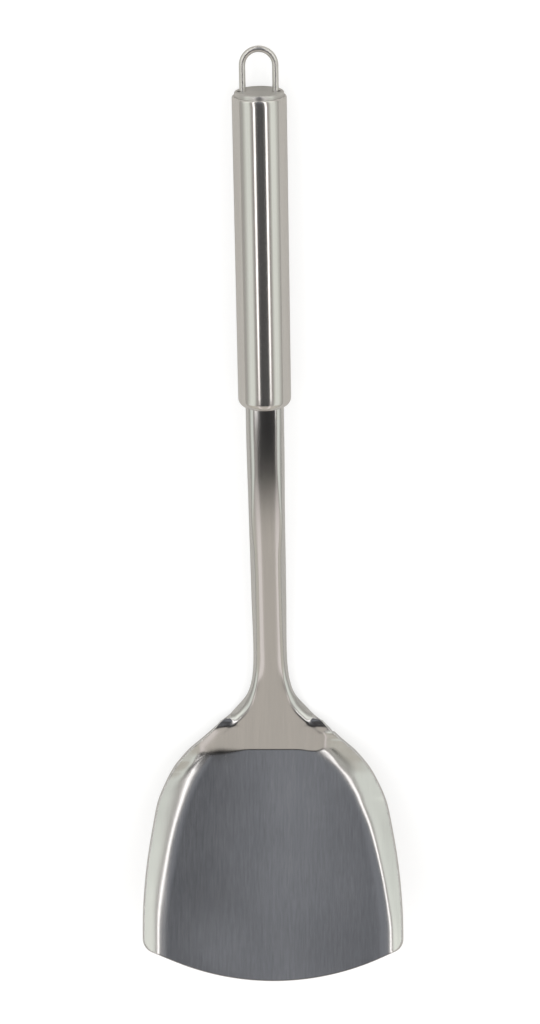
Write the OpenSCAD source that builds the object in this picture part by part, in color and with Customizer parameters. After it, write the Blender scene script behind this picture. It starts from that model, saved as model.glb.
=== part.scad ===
// Stainless steel wok turner with a round hollow handle and a wire hanging loop.
// Lengths in millimetres. It lies as it does on a table: the heel of the blade
// and the end of the handle touch z = 0, +Y runs towards the hanging loop.

/* [Blade] */
// Length of the flat of the blade, heel to front edge
blade_len = 93.6; // [80:0.2:110]
// Half width of the blade at its widest
blade_half = 52; // [46:0.2:58]
// Radius of the front edge seen from above
front_radius = 106; // [90:1:200]
// Radius of the two front corners
corner_radius = 6.5; // [4:0.5:9]
// Flare angle of the side walls above the flat
wall_angle = 32; // [20:1:45]
// Half width of the soft bend between flat and wall
wall_bend = 3.2; // [2:0.2:4]
// Thickness of the sheet
sheet = 1.5; // [1.2:0.1:1.8]

/* [Shank] */
// Slope of the shoulder and lower shank above the flat of the blade
shoulder_angle = 29; // [24:0.5:34]
// Length of the straight lower part, heel to the start of the sweep
lower_len = 91; // [80:1:105]
// Length of the sweep down to the slope of the handle
sweep_len = 61.5; // [40:0.5:80]
// Length of the tang hidden in the handle
tang_len = 30; // [15:1:45]

/* [Handle] */
// Slope of the handle above the flat of the blade
handle_angle = 21.5; // [17:0.5:23]
// Outside diameter of the handle
tube_d = 20; // [20:0.1:20.4]
// Length of the tube
tube_len = 118.5; // [100:0.5:140]
// Wall of the tube
tube_wall = 0.9; // [0.7:0.1:1]
// Radius of the opening that is spun in around the shank
mouth_r = 7.7; // [7.7:0.05:7.9]
// Height of the shank's back above the middle of the handle
back_height = 4; // [3.8:0.1:4.2]

/* [End cap and loop] */
// Height of the cap's band above the tube
cap_stand = 1.6; // [1.2:0.1:2.5]
// Thickness of the cap
cap_wall = 0.9; // [0.7:0.1:1.1]
// Rounding of the cap's edge
cap_edge = 0.7; // [0.3:0.1:0.7]
// Diameter of the wire
wire_d = 2.3; // [2:0.1:2.3]
// Distance between the middles of the two legs
leg_spacing = 12; // [11:0.1:12]
// Height of the loop above the cap
loop_height = 16.5; // [14:0.5:24]

/* [Hidden] */
steel = [0.74, 0.74, 0.72];
bright = [0.82, 0.82, 0.80];
dull = [0.60, 0.59, 0.57];

// ---- tables of half widths against distance from the heel, and their curve ----
// outline of the stamping
OUT = [[-200, blade_half], [-74, blade_half], [-60, blade_half - 0.5], [-45, blade_half - 2],
       [-30, blade_half - 4.5], [-20, blade_half - 6.7], [-12, 41.8], [-7, 38.9], [-4, 36.6],
       [0, 33], [4, 28.3], [8, 23.8], [12, 20.4], [15, 16.9], [18, 14.1], [20.5, 11.8],
       [22.6, 10.2], [25, 9], [28, 8.1], [31, 7.5], [37, 7], [45, 6.9], [60, 7.1],
       [80, 7.2], [100, 7.3], [122, 7.5], [400, 7.5]];
// bend between the flat and the side walls
WALL = [[-200, blade_half - 5], [-75, blade_half - 5.3], [-60, blade_half - 6.4],
        [-45, blade_half - 8.6], [-30, 40], [-20, 36.5], [-14, 33.7], [-9, 30.9], [-4.5, 28],
        [0, 24.6], [4, 21.2], [10, 16], [400, 16]];
// bend between the back of the shank and its turned-down flanges
FLANGE = [[-200, 20], [6, 20.5], [8, 17.7], [10, 14.1], [12, 11.3], [14, 9.4], [17, 7.7],
          [20, 7], [25, 6.3], [32, 5.2], [41, 4.2], [52, 3.9], [64, 3.8], [78, 3.85], [90, 4.1],
          [100, 4.6], [110, 5.1], [120, 5.5], [128, 5.6], [400, 5.6]];
// half width of that bend
FWIDE = [[-200, 1.9], [14, 1.9], [24, 1.5], [40, 1.3], [60, 1.2], [92, 1.3], [106, 2], [122, 2.1], [400, 2.1]];
// slope of the flanges
FSLOPE = [[-200, 0.69], [14, 0.69], [20, 0.72], [28, 0.97], [36, 1.15], [60, 1.2], [98, 1.25],
          [108, 1.02], [122, 1], [400, 1]];
// crown of the back, as height lost against the square of the distance from its middle
CROWN = [[-200, 0], [30, 0], [40, 0.006], [95, 0.006], [108, 0.024], [400, 0.024]];

function seg(T, t, i = 0) = (i + 2 >= len(T) || t < T[i + 1][0]) ? i : seg(T, t, i + 1);
function sl(T, i) = (i <= 0 || i >= len(T) - 1) ? 0 : (T[i + 1][1] - T[i - 1][1]) / (T[i + 1][0] - T[i - 1][0]);
function herm(a, b, ma, mb, h, u) = a * (2 * u * u * u - 3 * u * u + 1) + ma * h * (u * u * u - 2 * u * u + u)
    + b * (3 * u * u - 2 * u * u * u) + mb * h * (u * u * u - u * u);
function curve(T, t) = let (i = seg(T, t), h = T[i + 1][0] - T[i][0])
    h > 60 ? T[i][1] + (T[i + 1][1] - T[i][1]) * (t - T[i][0]) / h
           : herm(T[i][1], T[i + 1][1], sl(T, i), sl(T, i + 1), h, (t - T[i][0]) / h);
function slope(T, t) = (curve(T, t + 0.05) - curve(T, t - 0.05)) / 0.1;

// bend of half width w: 0 before it, the plain line after it
function ramp(d, w) = d <= -w ? 0 : d >= w ? d : let (t = (d + w) / (2 * w)) 2 * w * (t * t * t - t * t * t * t / 2);
function softmin(a, b, w) = a - ramp(a - b, w);
function ease(t) = t <= 0 ? 0 : t >= 1 ? 1 : t * t * (3 - 2 * t);

// ---- side view of the shank ----
y1 = lower_len * cos(shoulder_angle);
z1 = lower_len * sin(shoulder_angle);
sweep_r = sweep_len / ((shoulder_angle - handle_angle) * PI / 180);
y2 = y1 + sweep_r * (sin(shoulder_angle) - sin(handle_angle));
z2 = z1 + sweep_r * (cos(handle_angle) - cos(shoulder_angle));
function back(y) = y < y1 ? y * tan(shoulder_angle)
    : y < y2 ? let (a = asin(sin(shoulder_angle) - (y - y1) / sweep_r)) z1 + sweep_r * (cos(a) - cos(shoulder_angle))
    : z2 + (y - y2) * tan(handle_angle);
function lean(y) = y < y1 ? shoulder_angle : y < y2 ? asin(sin(shoulder_angle) - (y - y1) / sweep_r) : handle_angle;

// ---- upper surface of the stamping: height over the plane of the flat ----
bend_slope = tan(wall_angle);
flap_slope = 0.37;
pocket_y = 10;
function dish(x, y) = let (k = slope(WALL, y)) bend_slope / sqrt(1 + k * k) * ramp(x - curve(WALL, y), wall_bend);
function crown(x, y) = 1.9 * ease((x - 8) / 24) * max(0, 1 - max(0, y) / 20);
function flap(x, y) = flap_slope * ramp(x - 25 + 0.43 * max(y, -2.5), 4) * ease((12 - y) / 5);
function pinch(x, y) = y < 30 ? softmin(x - curve(FLANGE, y), (y - pocket_y) * 1.34 + (x - 16) * 0.1, 2.5 - 2 * ease((y - 18) / 8))
    : x - curve(FLANGE, y);
function shoulder(x, y) = back(y) + (y < 30 ? tan(shoulder_angle) * crown(x, y) + flap(x, y) : 0)
    - (curve(FSLOPE, y) * ramp(pinch(x, y), curve(FWIDE, y)) + curve(CROWN, y) * x * x) / cos(lean(y));
function top_z(x, y) = let (a = dish(x, y) * (1 - ease((y - 7) / 5)), b = shoulder(x, y)) y > 25 ? b : a + ramp(b - a, 0.5);
function top(x, y) = [x, y, top_z(abs(x), y)];
function normal(x, y) = let (e = 0.02, gx = (top_z(abs(x + e), y) - top_z(abs(x - e), y)) / (2 * e),
    gy = (top_z(abs(x), y + e) - top_z(abs(x), y - e)) / (2 * e)) [-gx, -gy, 1] / norm([gx, gy, 1]);
function under(x, y) = top(x, y) - sheet * normal(x, y);

// ---- grid over the stamping: strips across, stations along ----
NA = 4;
NB = 5;
NC = 3;
NH = NA + NB + NC;
function mix(a, b, t) = a + (b - a) * t;
function edge(y) = curve(OUT, y);
function fold(y) = mix(curve(WALL, y), curve(FLANGE, y), ease((y + 2) / 11));
function fold_w(y) = mix(wall_bend, curve(FWIDE, y), ease((y + 2) / 11));
function strip_x(i, y) = let (o = edge(y), a = min(fold(y) - fold_w(y), o * 0.75), b = min(fold(y) + fold_w(y), o - (o - a) * 0.24))
    i <= NA ? a * i / NA : i <= NA + NB ? mix(a, b, (i - NA) / NB) : mix(b, o, (i - NA - NB) / NC);
// front edge with its rounded corners
corner_x = blade_half - corner_radius;
front_mid = front_radius - blade_len;
corner_y = front_mid - sqrt(pow(front_radius - corner_radius, 2) - corner_x * corner_x);
tangent_x = corner_x * front_radius / (front_radius - corner_radius);
function front(x) = x < tangent_x ? front_mid - sqrt(front_radius * front_radius - x * x)
    : corner_y - sqrt(max(0, corner_radius * corner_radius - (x - corner_x) * (x - corner_x)));
from_y = -62;
y_tang = y2 + tang_len * cos(handle_angle);
STEPS = concat([for (i = [0:5]) from_y + 8.4 * i], [-14, -9.5, -6, -3.2, -1.6, -0.7, -0.2, 0.3, 0.9, 1.8, 3.6, 5.6, 7.2],
    [for (i = [0:9]) 8.3 + 1.2 * i], [for (i = [0:6]) 20.6 + 2.2 * i], [for (i = [0:4]) 38 + 8.4 * i],
    [for (i = [0:4]) y1 + (y2 - 4 - y1) * i / 4], [y2, y2 + 4, y_tang]);
FRONT = [0, 0.12, 0.3, 0.52, 0.76];
NS = len(FRONT) + len(STEPS);
function strip_f(i) = strip_x(i, -74);
function grid_pt(i, j) = let (k = abs(i), s = i < 0 ? -1 : 1)
    j < len(FRONT) ? let (xf = strip_f(k), y = mix(front(xf), from_y, FRONT[j])) [s * min(strip_x(k, y), k == NH ? edge(y) : 1000), y]
                   : let (y = STEPS[j - len(FRONT)]) [s * strip_x(k, y), y];
W = 2 * NH + 1;
GRID = [for (j = [0:NS - 1]) for (i = [-NH:NH]) grid_pt(i, j)];
TOP = [for (p = GRID) top(p[0], p[1])];
UNDER = [for (p = GRID) under(p[0], p[1])];
NP = len(GRID);

// ---- how it lies: the plane through the heel and the end of the tube ----
tube_r = tube_d / 2;
t_dir = [0, cos(handle_angle), sin(handle_angle)];
n_dir = [0, -sin(handle_angle), cos(handle_angle)];
mouth = [0, y2, z2] - back_height * n_dir;
lip_r = 0.7;
lip_at = mouth + (tube_len - lip_r) * t_dir - (tube_r - lip_r) * n_dir;
function drop(p, a) = -p[1] * sin(a) + p[2] * cos(a);
FEET = concat(TOP, UNDER);
function lowest(L, a, i = 0, b = 0) = i >= len(L) ? L[b] : lowest(L, a, i + 1, drop(L[i], a) < drop(L[b], a) ? i : b);
function lie(n, a = 23) = n == 0 ? a : let (h = lowest(FEET, a), d = lip_at - h)
    lie(n - 1, atan2(d[2], d[1]) - asin(lip_r / norm([d[1], d[2]])));
rest_angle = lie(4);
low = drop(lowest(FEET, rest_angle), rest_angle);
function along(p, a) = p[1] * cos(a) + p[2] * sin(a);
front_y = min([for (p = concat(TOP, UNDER)) along(p, rest_angle)]);
wire_r = wire_d / 2;
arch_r = leg_spacing / 2;
arch_at = tube_len + cap_stand + loop_height - arch_r - wire_r;
rear_y = along(mouth + (arch_at + arch_r) * t_dir, rest_angle) + wire_r;
module lying() translate([0, -(front_y + rear_y) / 2, -low]) rotate([-rest_angle, 0, 0]) children();
// +Z along the handle from the middle of its mouth, +Y out of the back of the shank
module on_handle() lying() translate(mouth) rotate([handle_angle - 90, 0, 0]) mirror([0, 1, 0]) children();

module blade_and_shank() color(steel) lying() polyhedron(
    points = concat(TOP, UNDER),
    faces = concat(
        [for (j = [0:NS - 2]) for (i = [0:W - 2]) each let (a = j * W + i) i < NH
            ? [[a, a + W, a + 1], [a + 1, a + W, a + W + 1]] : [[a, a + W, a + W + 1], [a, a + W + 1, a + 1]]],
        [for (j = [0:NS - 2]) for (i = [0:W - 2]) each let (a = NP + j * W + i) i < NH
            ? [[a, a + 1, a + W], [a + 1, a + W + 1, a + W]] : [[a, a + W + 1, a + W], [a, a + 1, a + W + 1]]],
        [for (i = [0:W - 2]) each [[i, i + 1, NP + i], [i + 1, NP + i + 1, NP + i]]],
        [for (i = [0:W - 2]) each let (a = (NS - 1) * W + i) [[a, NP + a, a + 1], [a + 1, NP + a, NP + a + 1]]],
        [for (j = [0:NS - 2]) each let (a = j * W) [[a, NP + a, a + W], [a + W, NP + a, NP + a + W]]],
        [for (j = [0:NS - 2]) each let (a = j * W + W - 1) [[a, a + W, NP + a], [a + W, NP + a + W, NP + a]]]));

// wall of the tube in section: outside arc, spun-in lip, inside arc
nose_r = 3;
module handle_tube() color(bright) on_handle() rotate_extrude($fn = 96) difference() {
    union() {
        translate([0, nose_r]) square([tube_r, tube_len - nose_r - lip_r]);
        translate([0, tube_len - lip_r - 0.01]) square([tube_r - lip_r, lip_r + 0.01]);
        translate([tube_r - lip_r, tube_len - lip_r]) intersection() { circle(lip_r, $fn = 48); square([lip_r, lip_r]); }
        square([tube_r - nose_r, nose_r + 0.01]);
        translate([tube_r - nose_r, nose_r]) intersection() { circle(nose_r, $fn = 64); translate([0, -nose_r]) square([nose_r, nose_r + 0.005]); }
    }
    translate([-0.01, nose_r]) square([tube_r - tube_wall + 0.01, tube_len]);
    translate([-0.01, -1]) square([mouth_r + 0.01, tube_len]);
    translate([tube_r - nose_r, nose_r]) circle(nose_r - tube_wall, $fn = 64);
}

module end_cap() color(bright) on_handle() translate([0, 0, tube_len + cap_stand]) difference() {
    rotate_extrude($fn = 96) difference() {
        union() {
            translate([0, -7.5]) square([tube_r - tube_wall, 7.5 - cap_edge]);
            translate([0, -cap_edge - 0.01]) square([tube_r - tube_wall - cap_edge, cap_edge + 0.01]);
            translate([tube_r - tube_wall - cap_edge, -cap_edge]) intersection() { circle(cap_edge, $fn = 48); square(cap_edge); }
        }
        translate([-0.01, -8]) square([tube_r - tube_wall - cap_wall + 0.01, 8 - cap_wall]);
    }
    for (s = [-1, 1]) {
        translate([s * arch_r, 0, -3]) cylinder(r = wire_r + 0.1, h = 4, $fn = 48);
        translate([s * (arch_r + 0.75), 0, -3]) cylinder(r = wire_r + 0.1, h = 4, $fn = 48);
        translate([s * (arch_r + 0.375) - 0.375, -wire_r - 0.1, -3]) cube([0.75, wire_d + 0.2, 4]);
    }
}

module hanging_loop() color(bright) on_handle() translate([0, 0, arch_at]) {
    rotate([90, 0, 0]) rotate_extrude(angle = 180, $fn = 96) translate([arch_r, 0]) circle(wire_r, $fn = 48);
    for (s = [-1, 1]) translate([s * arch_r, 0, tube_len + cap_stand - cap_wall - 2.2 - arch_at])
        cylinder(r = wire_r, h = arch_at - (tube_len + cap_stand - cap_wall - 2.2), $fn = 48);
}

module loop_weld() color(dull) on_handle() for (s = [-1, 1])
    translate([s * arch_r, 0, tube_len + cap_stand - cap_wall - 1.3]) difference() {
        cylinder(r1 = wire_r + 0.5, r2 = wire_r + 1, h = 1.3, $fn = 48);
        translate([0, 0, -1]) cylinder(r = wire_r, h = 4, $fn = 48);
    }

module cap_weld() color(dull) on_handle() for (a = [30, 150, 270]) rotate(a)
    translate([tube_r - tube_wall, 0, tube_len + cap_stand - 7.5]) intersection() {
        rotate([90, 0, 0]) cylinder(r = 0.9, h = 3, center = true, $fn = 48);
        translate([-2, -2, -2]) cube([2 - 0.12, 4, 2]);
    }

// section of the tang inside the mouth: [across, above the middle of the handle]
function tang_pt(i) = let (p = under(strip_x(i, y2 + 4), y2 + 4) - mouth) [p[0], p * n_dir];
TANG = [for (i = [0:NH]) tang_pt(i)];
tang_foot = TANG[NH];
plate_at = 0.9;
module under_back() polygon(concat([for (i = [NH:-1:0]) [-TANG[i][0], TANG[i][1] - 0.03]], [for (i = [1:NH]) [TANG[i][0], TANG[i][1] - 0.03]],
    [[tang_foot[0], -20], [-tang_foot[0], -20]]));
module mouth_plate() color(steel) on_handle() translate([0, 0, plate_at]) linear_extrude(1.2) intersection() {
    circle(mouth_r - 0.02, $fn = 96);
    under_back();
}

module shank_weld() color(dull) on_handle() intersection() {
    translate([0, 0, plate_at - 0.8]) rotate_extrude($fn = 96) polygon([[mouth_r - 0.8, 0.8], [mouth_r, 0.8], [mouth_r, 0]]);
    translate([-4.6, -20, -5]) cube([9.2, 20, 10]);
}

blade_and_shank();
handle_tube();
mouth_plate();
shank_weld();
end_cap();
cap_weld();
hanging_loop();
loop_weld();
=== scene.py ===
import math

import bpy
import numpy as np
from mathutils import Matrix, Vector, geometry


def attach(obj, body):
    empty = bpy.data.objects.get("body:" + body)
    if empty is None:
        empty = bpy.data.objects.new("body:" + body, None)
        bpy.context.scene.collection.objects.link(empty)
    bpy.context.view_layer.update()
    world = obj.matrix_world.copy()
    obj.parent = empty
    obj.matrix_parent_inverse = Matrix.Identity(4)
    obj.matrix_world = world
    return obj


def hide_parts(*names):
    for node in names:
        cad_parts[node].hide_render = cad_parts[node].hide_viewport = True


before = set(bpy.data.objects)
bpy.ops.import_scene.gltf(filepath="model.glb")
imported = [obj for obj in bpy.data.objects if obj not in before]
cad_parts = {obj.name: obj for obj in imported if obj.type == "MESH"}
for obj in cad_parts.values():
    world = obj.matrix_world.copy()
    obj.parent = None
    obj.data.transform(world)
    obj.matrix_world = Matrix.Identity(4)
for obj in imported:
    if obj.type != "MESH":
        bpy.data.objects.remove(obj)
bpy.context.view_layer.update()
scene = bpy.context.scene
MM = 0.001

# ---------------------------------------------------------------- the part's own sizes, in millimetres
blade_len, blade_half, front_radius, corner_radius = 93.6, 52.0, 106.0, 6.5
wall_bend, sheet = 3.2, 1.5
lower_len, sweep_len, tang_len = 91.0, 61.5, 30.0
shoulder_a, handle_a = math.radians(29), math.radians(21.5)
tube_r, tube_len, tube_wall, mouth_r, back_height = 10.0, 118.5, 0.9, 7.7, 4.0
nose_r, lip_r = 3.0, 0.7
cap_stand, cap_wall = 1.6, 0.9
wire_r, arch_r, loop_height = 1.15, 6.0, 16.5
rest_a = math.radians(22.8569)
rest_y, rest_z = -100.757, 4.48155

# half widths against the distance from the heel: outline, folds of the left and of the right side wall
OUT = [(-200, 52), (-74, 52), (-60, 51.5), (-45, 50), (-30, 47.5), (-20, 45.3), (-12, 41.8), (-7, 38.9), (-4, 36.6), (0, 33),
       (4, 28.3), (8, 23.8), (12, 20.4), (15, 16.9), (18, 14.1), (20.5, 11.8), (22.6, 10.2), (25, 9), (28, 8.1), (31, 7.5),
       (37, 7), (45, 6.9), (60, 7.1), (80, 7.2), (100, 7.3), (122, 7.5), (400, 7.5)]
FOLD = {-1: [(-200, 48.1), (-75, 47.8), (-60, 46.5), (-45, 43.9), (-30, 40.8), (-20, 37.7), (-14, 35.1), (-9, 32.3), (-4.5, 29.7),
             (0, 27.4), (5, 25.5), (10, 24), (400, 24)],
        1: [(-200, 48.1), (-75, 47.8), (-60, 46.5), (-45, 43.9), (-30, 40.8), (-20, 37.5), (-17, 35.9), (-14, 34.0), (-11, 31.8),
            (-8, 29.2), (-5, 26.3), (-2, 23), (1, 19.4), (4, 15.7), (7, 12), (10, 9.5), (400, 9.5)]}
# each wall rises in two soft bends: place over the fold, half width and added slope of the first and of the second
RISE = {-1: [(-200, -5, 5.5, 0.21, -0.85, 1.9, 0.28), (-75, -5, 5.5, 0.21, -0.85, 1.9, 0.28), (-64, -4.3, 5.2, 0.25, 0, 2.5, 0.28),
             (-52, -2.6, 4.0, 0.34, 1.2, 3.0, 0.22), (-40, -2.0, 3.5, 0.38, 1.6, 3.0, 0.17), (-30, -2.1, 3.7, 0.41, 2.2, 3.2, 0.15),
             (-24, -2.3, 3.9, 0.41, 2.4, 3.3, 0.17), (-19, -2.5, 3.9, 0.385, 2.5, 3.2, 0.21), (-14, -2.65, 3.7, 0.345, 2.4, 3.0, 0.29),
             (-9, -2.8, 3.3, 0.31, 2.1, 2.6, 0.42), (-4, -2.9, 3.0, 0.29, 1.9, 2.1, 0.56), (400, -2.9, 3.0, 0.29, 1.9, 2.1, 0.56)],
        1: [(-200, -0.5, 3.2, 0.36, 1.1, 1.8, 0.26), (-75, -0.5, 3.2, 0.36, 1.1, 1.8, 0.26), (-60, -0.75, 2.1, 0.385, 1.0, 2.0, 0.23),
            (-46, -0.95, 2.1, 0.395, 1.0, 2.3, 0.225), (-40, -1.2, 2.3, 0.40, 1.0, 2.5, 0.23), (-31, -1.7, 2.7, 0.44, 1.6, 2.8, 0.22),
            (-24, -2.5, 3.1, 0.41, 0.4, 2.8, 0.23), (-19, -2.8, 3.1, 0.39, 0.6, 2.8, 0.24), (-14, -2.8, 3.0, 0.36, 1.2, 2.8, 0.28),
            (-8, -2.7, 2.7, 0.32, 2.0, 2.8, 0.34), (-2, -3.7, 3.3, 0.275, 2.4, 2.6, 0.39), (400, -3.7, 3.3, 0.275, 2.4, 2.6, 0.39)]}
# flanges of the shank: bend, its half width, slope; and how much the back itself is crowned
FLANGE = [(-200, 21), (6, 21), (8, 19), (10, 16.8), (12, 14.6), (14, 12.5), (17, 10.0), (20, 8.3), (25, 6.8), (32, 5.9), (41, 5.4),
          (52, 5.2), (78, 5.25), (92, 6.0), (101, 5.8), (110, 5.45), (120, 5.5), (128, 5.6), (400, 5.6)]
FWIDE = [(-200, 3.1), (14, 3.1), (20, 2.5), (26, 1.8), (36, 1.6), (48, 1.6), (78, 1.6), (92, 1.15), (104, 1.6), (114, 2.05), (122, 2.1), (400, 2.1)]
FSLOPE = [(-200, 0.62), (13, 0.62), (17, 0.8), (21, 0.95), (28, 1.05), (36, 1.15), (60, 1.2), (98, 1.25), (108, 1.02), (122, 1), (400, 1)]
CROWN = [(-200, 0), (22, 0), (34, 0.028), (44, 0.030), (88, 0.030), (100, 0.028), (110, 0.0245), (400, 0.024)]


def curve(table, t):
    a = np.asarray(table, float)
    px, py = a[:, 0], a[:, 1]
    t = np.asarray(t, float)
    m = np.zeros(len(px))
    m[1:-1] = (py[2:] - py[:-2]) / (px[2:] - px[:-2])
    i = np.clip(np.searchsorted(px, t, side="right") - 1, 0, len(px) - 2)
    h = px[i + 1] - px[i]
    u = (t - px[i]) / h
    c = (py[i] * (2 * u**3 - 3 * u * u + 1) + m[i] * h * (u**3 - 2 * u * u + u)
         + py[i + 1] * (3 * u * u - 2 * u**3) + m[i + 1] * h * (u**3 - u * u))
    return np.where(h > 60, py[i] + (py[i + 1] - py[i]) * u, c)


def slope(table, t):
    return (curve(table, t + 0.05) - curve(table, t - 0.05)) / 0.1


def ramp(d, w):
    t = np.clip((d + w) / (2 * w), 0, 1)
    return np.where(d >= w, d, 2 * w * (t**3 - t**4 / 2))


def bump_at(x, middle, half):
    return np.exp(-(((x - middle) / half) ** 2))


y1, z1 = lower_len * math.cos(shoulder_a), lower_len * math.sin(shoulder_a)
sweep_r = sweep_len / (shoulder_a - handle_a)
y2 = y1 + sweep_r * (math.sin(shoulder_a) - math.sin(handle_a))
z2 = z1 + sweep_r * (math.cos(handle_a) - math.cos(shoulder_a))
y_tang = y2 + tang_len * math.cos(handle_a)


def lean(y):
    swept = np.arcsin(np.clip(math.sin(shoulder_a) - (y - y1) / sweep_r, -1, 1))
    return np.where(y < y1, shoulder_a, np.where(y < y2, swept, handle_a))


def back(y):
    return np.where(y < y1, y * math.tan(shoulder_a),
                    np.where(y < y2, z1 + sweep_r * (np.cos(lean(y)) - math.cos(shoulder_a)),
                             z2 + (y - y2) * math.tan(handle_a)))


def ease(t):
    t = np.clip(t, 0, 1)
    return t * t * (3 - 2 * t)


def each_side(x, left, right):
    return np.where(x < 0, left, right)


def dish(x, y):
    """Height of the two side walls over the flat."""
    wall = {}
    for side in (-1, 1):
        k, out, rise = slope(FOLD[side], y), np.abs(x) - curve(FOLD[side], y), 0
        for j in (1, 4):
            at, half, steep = (curve([(r[0], r[j + i]) for r in RISE[side]], y) for i in range(3))
            rise = rise + steep * ramp(out - at, half)
        wall[side] = rise / np.sqrt(1 + k * k)
    return each_side(x, wall[-1], wall[1])


def shoulder(x, y):
    """The sloping sheet behind the heel: pockets between it and the flanges, and its two outer flaps."""
    m = np.abs(x)
    crown = each_side(x, 2.3, 1.5) * ease((m - 8) / 24) * np.clip(1 - np.maximum(0, y) / 20, 0, None)
    flap = (each_side(x, 0.34, 0.40)
            * ramp(m - each_side(x, 28.0 - 0.87 * np.maximum(y, -2.5), 21.8 + 0.12 * np.maximum(y, -2.5)), each_side(x, 6.4, 3.7))
            * ease((12 - y) / 5))
    # the flanges run out towards the heel in a shallow bend
    drop = curve(FSLOPE, y) * ramp(m - curve(FLANGE, y), curve(FWIDE, y))
    most = 0.25 * ramp(y - 9.7, 0.8) + 0.30 * np.maximum(0, y - 11.8) ** 2
    drop = np.where(y < 30, drop - ramp(drop - most, 0.04 + 0.66 * ease((m - 11) / 4)), drop)
    return (back(y) + np.where(y < 30, math.tan(shoulder_a) * crown + flap, 0)
            - (drop + curve(CROWN, y) * x * x) / np.cos(lean(y)))


def top_z(x, y):
    """Upper surface of the stamping over the plane of its flat. The crease at the heel is sharp in the middle and softer towards
    its ends, and softest at its left end."""
    a, b = dish(x, y), shoulder(x, y)
    a = a * (1 - ease((y - 7) / 5))
    w = (0.33 + 0.7 * ease((-x - 11) / 11) + 1.4 * ease((-x - 24) / 8) + 0.5 * ease((x - 19) / 5) + 1.6 * ease((x - 23) / 8))
    return np.where(y > 25, b, a + ramp(b - a, w))


def surface(x, y):
    e = 0.02
    gx = (top_z(x + e, y) - top_z(x - e, y)) / (2 * e)
    gy = (top_z(x, y + e) - top_z(x, y - e)) / (2 * e)
    n = np.stack([-gx, -gy, np.ones_like(gx)], -1)
    return np.stack([x, y, top_z(x, y)], -1), n / np.linalg.norm(n, axis=-1, keepdims=True)


# ---------------------------------------------------------------- from the blade's frame and the handle's frame to the part's frame
LIE = np.array([[1, 0, 0], [0, math.cos(rest_a), math.sin(rest_a)], [0, -math.sin(rest_a), math.cos(rest_a)]])
SHIFT = np.array([0, rest_y, rest_z])
T_DIR = LIE @ np.array([0, math.cos(handle_a), math.sin(handle_a)])
N_DIR = LIE @ np.array([0, -math.sin(handle_a), math.cos(handle_a)])
MOUTH = LIE @ np.array([0, y2, z2]) + SHIFT - back_height * N_DIR


def from_blade(p):
    return (np.asarray(p, float) @ LIE.T + SHIFT) * MM


def from_handle(p):
    """x across, y out of the back, z along the handle from the middle of its mouth."""
    p = np.asarray(p, float)
    return (MOUTH + p[..., :1] * np.array([1.0, 0, 0]) + p[..., 1:2] * N_DIR + p[..., 2:3] * T_DIR) * MM


def make(name, points, faces, material, lay=None, stands_for=(), angle=None, weighted=False):
    """A mesh piece that rides on the root body. lay is the unrolled place of each point on its surface, in mm, for the finish."""
    mesh = bpy.data.meshes.new(name)
    mesh.from_pydata(np.asarray(points, float).tolist(), [], [list(map(int, f)) for f in faces])
    mesh.validate()
    mesh.polygons.foreach_set("use_smooth", [True] * len(mesh.polygons))
    if lay is not None:
        attribute = mesh.attributes.new("lay", "FLOAT_VECTOR", "POINT")
        attribute.data.foreach_set("vector", np.asarray(lay, np.float32).ravel())
    if angle is not None:
        mesh.set_sharp_from_angle(angle=math.radians(angle))
    mesh.materials.append(material)
    mesh.update()
    piece = bpy.data.objects.new(name, mesh)
    scene.collection.objects.link(piece)
    if weighted:
        m = piece.modifiers.new("weighted", "WEIGHTED_NORMAL")
        m.keep_sharp, m.weight = True, 80
    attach(piece, "root")
    if stands_for:
        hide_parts(*stands_for)
    return piece


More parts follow.
